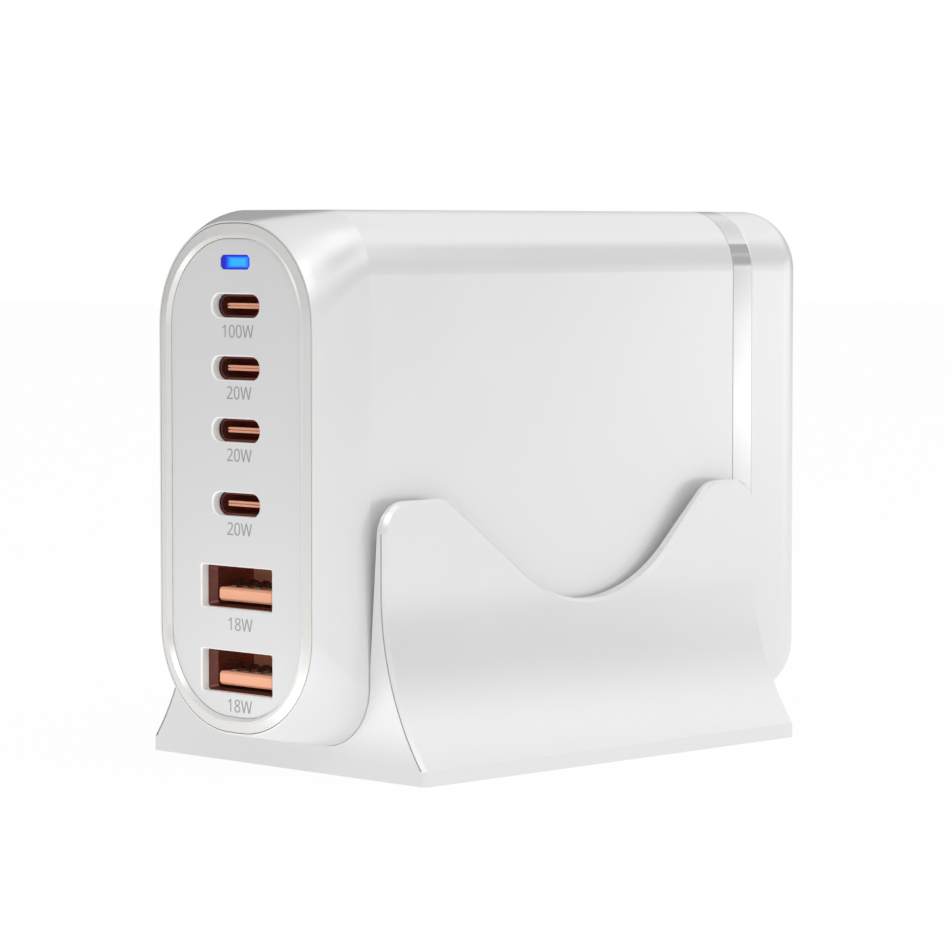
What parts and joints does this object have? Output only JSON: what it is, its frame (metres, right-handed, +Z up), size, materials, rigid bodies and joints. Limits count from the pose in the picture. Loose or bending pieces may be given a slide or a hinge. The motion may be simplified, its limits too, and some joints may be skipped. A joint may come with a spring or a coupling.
{
  "type": "multi port usb desktop charger",
  "caption": "Upright white desktop charger with a rounded body, a column of USB ports on its front panel, a status light and a flared cradle stand.",
  "frame": {"origin": "middle of the object's box, at the bottom of the stand", "axes": "+X to the right seen from the front, +Y from the front panel to the rear, +Z up"},
  "size_m": [0.0552, 0.1, 0.0764],
  "materials": {
    "white_plastic": "satin white moulding",
    "stand_plastic": "satin white moulding",
    "bezel_plastic": "satin warm white moulding",
    "panel_plastic": "fine matt white moulding",
    "bright_metal": "polished bright ring",
    "light_guide": "clear blue light guide, lit",
    "lamp": "lamp package",
    "port_steel": "dark plated steel",
    "orange_insulator": "orange moulding",
    "contact_metal": "gilt contacts",
    "inlet_plastic": "black moulding",
    "pin_metal": "nickel plated pins",
    "lead_insulation": "lead insulation",
    "circuit_board": "green board lacquer",
    "ferrite": "dark sintered core",
    "winding_tape": "yellow winding tape",
    "capacitor_sleeve": "dark shrink sleeve",
    "film_capacitor": "yellow case",
    "fuse_case": "brown case",
    "spreader_aluminium": "plain sheet",
    "package_epoxy": "black moulded package",
    "capacitor_can": "plain drawn can"
  },
  "bodies": {
    "root": {"main_housing": "white_plastic", "rear_cover": "white_plastic", "stand": "stand_plastic", "front_bezel": "bezel_plastic", "front_panel": "panel_plastic", "trim_band": "bright_metal", "indicator_lens": "light_guide", "indicator_led": "lamp", "usb_c_shell_1": "port_steel", "usb_c_shell_2": "port_steel", "usb_c_shell_3": "port_steel", "usb_c_shell_4": "port_steel", "usb_a_shell_1": "port_steel", "usb_a_shell_2": "port_steel", "usb_c_tongue_1": "orange_insulator", "usb_c_tongue_2": "orange_insulator", "usb_c_tongue_3": "orange_insulator", "usb_c_tongue_4": "orange_insulator", "usb_a_tongue_1": "orange_insulator", "usb_a_tongue_2": "orange_insulator", "usb_a_contacts_1": "contact_metal", "usb_a_contacts_2": "contact_metal", "ac_inlet": "inlet_plastic", "ac_inlet_pins": "pin_metal", "inlet_leads": "lead_insulation", "port_board": "circuit_board", "main_board": "circuit_board", "transformer_core": "ferrite", "input_choke": "ferrite", "transformer_coil": "winding_tape", "bulk_capacitors": "capacitor_sleeve", "filter_capacitor": "film_capacitor", "input_fuse": "fuse_case", "heat_spreader": "spreader_aluminium", "bridge_rectifier": "package_epoxy", "power_transistors": "package_epoxy", "output_inductors": "package_epoxy", "output_capacitors": "capacitor_can"}
  },
  "joints": []
}
